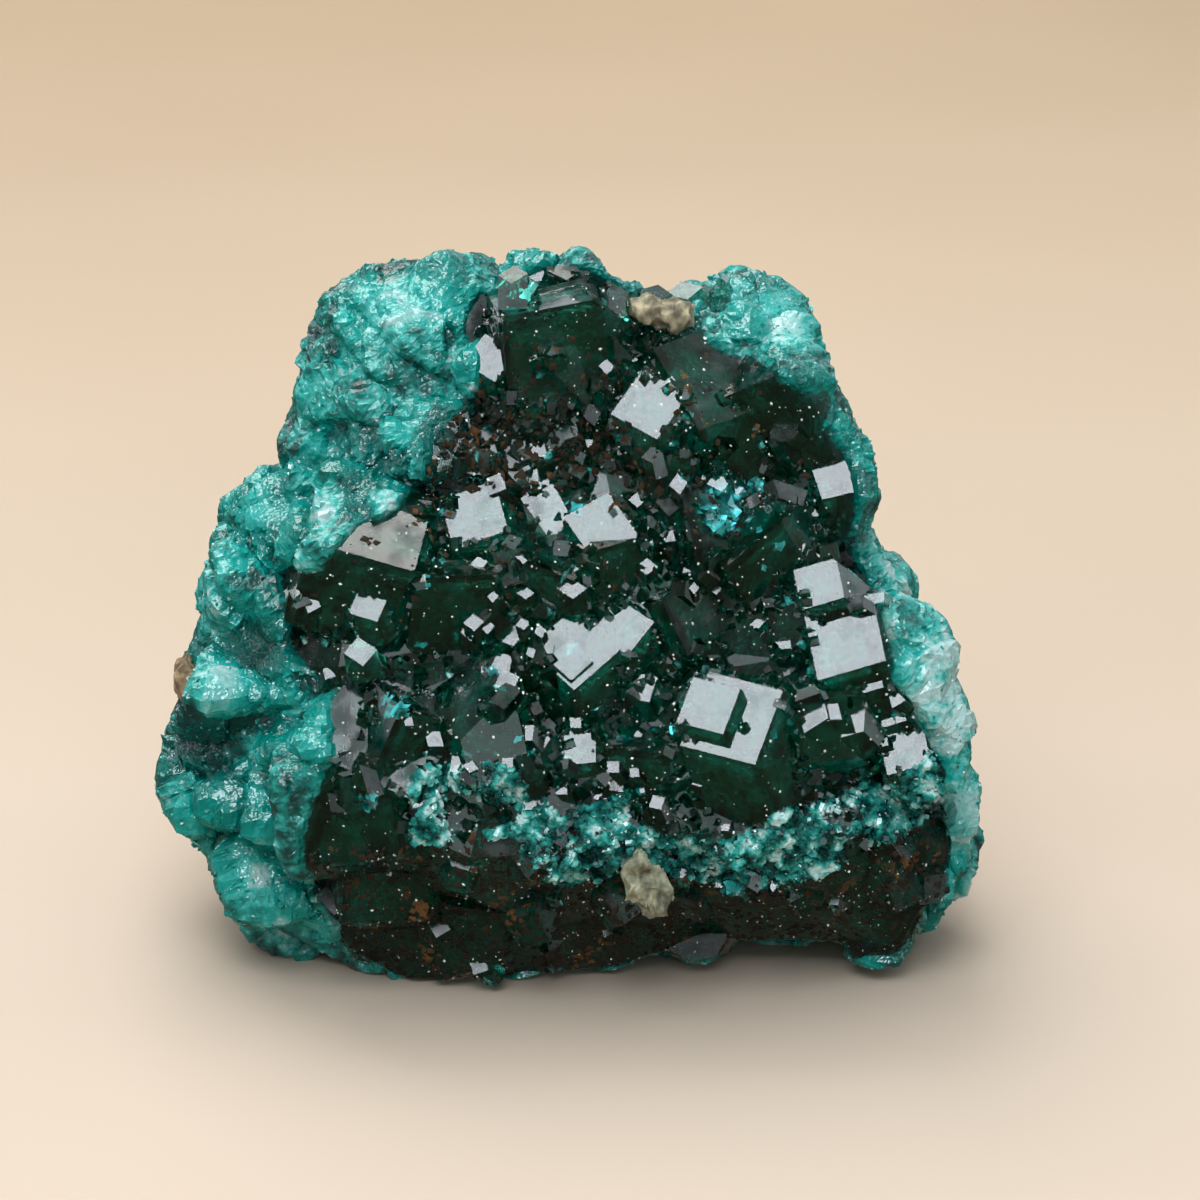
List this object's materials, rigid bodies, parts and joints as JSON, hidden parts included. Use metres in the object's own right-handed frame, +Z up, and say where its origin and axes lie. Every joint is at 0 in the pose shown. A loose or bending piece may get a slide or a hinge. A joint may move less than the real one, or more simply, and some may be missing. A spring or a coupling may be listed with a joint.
{
  "type": "dioptase crystal specimen",
  "caption": "Cluster of emerald green dioptase crystals grown together, with square glassy end faces, a dark undercut lip and small remnants of pale host rock.",
  "frame": {"origin": "middle of the bounding box in plan, on the surface that the specimen rests on", "axes": "+X to the right along the widest extent, +Y into the specimen from its crystal face, +Z up"},
  "size_m": [0.0358, 0.0262, 0.0317],
  "materials": {
    "dioptase": "glassy crystal faces, rough where broken",
    "host_rock": "dull, crumbly"
  },
  "bodies": {
    "root": {"dioptase_crystals": "dioptase", "matrix_front": "host_rock", "matrix_top": "host_rock", "matrix_left": "host_rock"}
  },
  "joints": []
}
